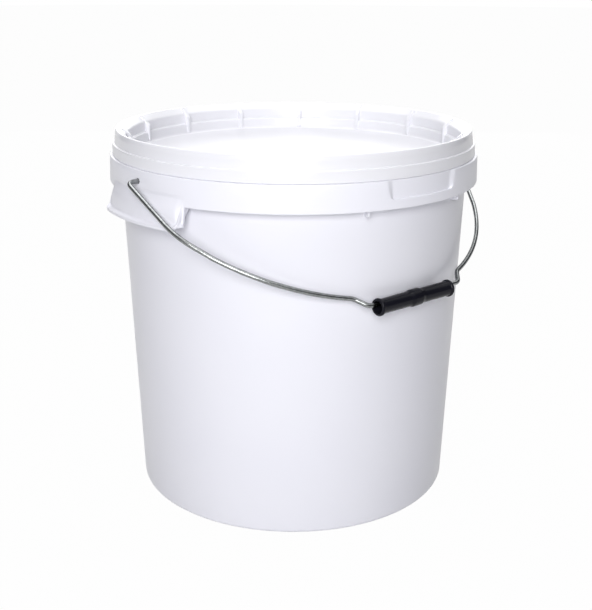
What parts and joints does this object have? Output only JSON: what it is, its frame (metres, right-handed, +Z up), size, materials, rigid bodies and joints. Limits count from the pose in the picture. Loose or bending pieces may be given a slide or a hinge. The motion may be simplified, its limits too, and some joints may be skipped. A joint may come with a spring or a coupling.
{
  "type": "plastic bucket with lid",
  "caption": "Round moulded plastic bucket with a push-on recessed lid, a stiffening collar with flared ears and a steel wire bail with a loose hand grip.",
  "frame": {"origin": "on the bucket's axis, in the plane that its foot ring stands on", "axes": "+Z up along the bucket's axis, +X along the bail's pivot axis, the bail hangs towards -Y, where the collar has its pull recess"},
  "size_m": [0.346, 0.3292, 0.3282],
  "materials": {
    "pail_plastic": "white moulded polypropylene with a soft gloss",
    "lid_plastic": "white moulded polypropylene, glossy on top",
    "bail_steel": "drawn galvanised wire",
    "grip_plastic": "black moulded plastic with a soft gloss"
  },
  "bodies": {
    "pail": {"pail": "pail_plastic"},
    "lid": {"lid": "lid_plastic"},
    "bail": {"bail": "bail_steel"},
    "grip": {"grip": "grip_plastic"}
  },
  "joints": [
    {"name": "lid_lift", "type": "slide", "parent": "pail", "child": "lid", "axis": [0, 0, 1], "range_m": [0, 0.04]},
    {"name": "bail_swing", "type": "hinge", "parent": "pail", "child": "bail", "pos_m": [0, 0, 0.2983], "axis": [-1, 0, 0], "range_deg": [0, 239.7]},
    {"name": "grip_spin", "type": "hinge", "parent": "bail", "child": "grip", "pos_m": [-0.0044, -0.15888, 0.20709], "axis": [1, 0, 0], "continuous": true}
  ]
}
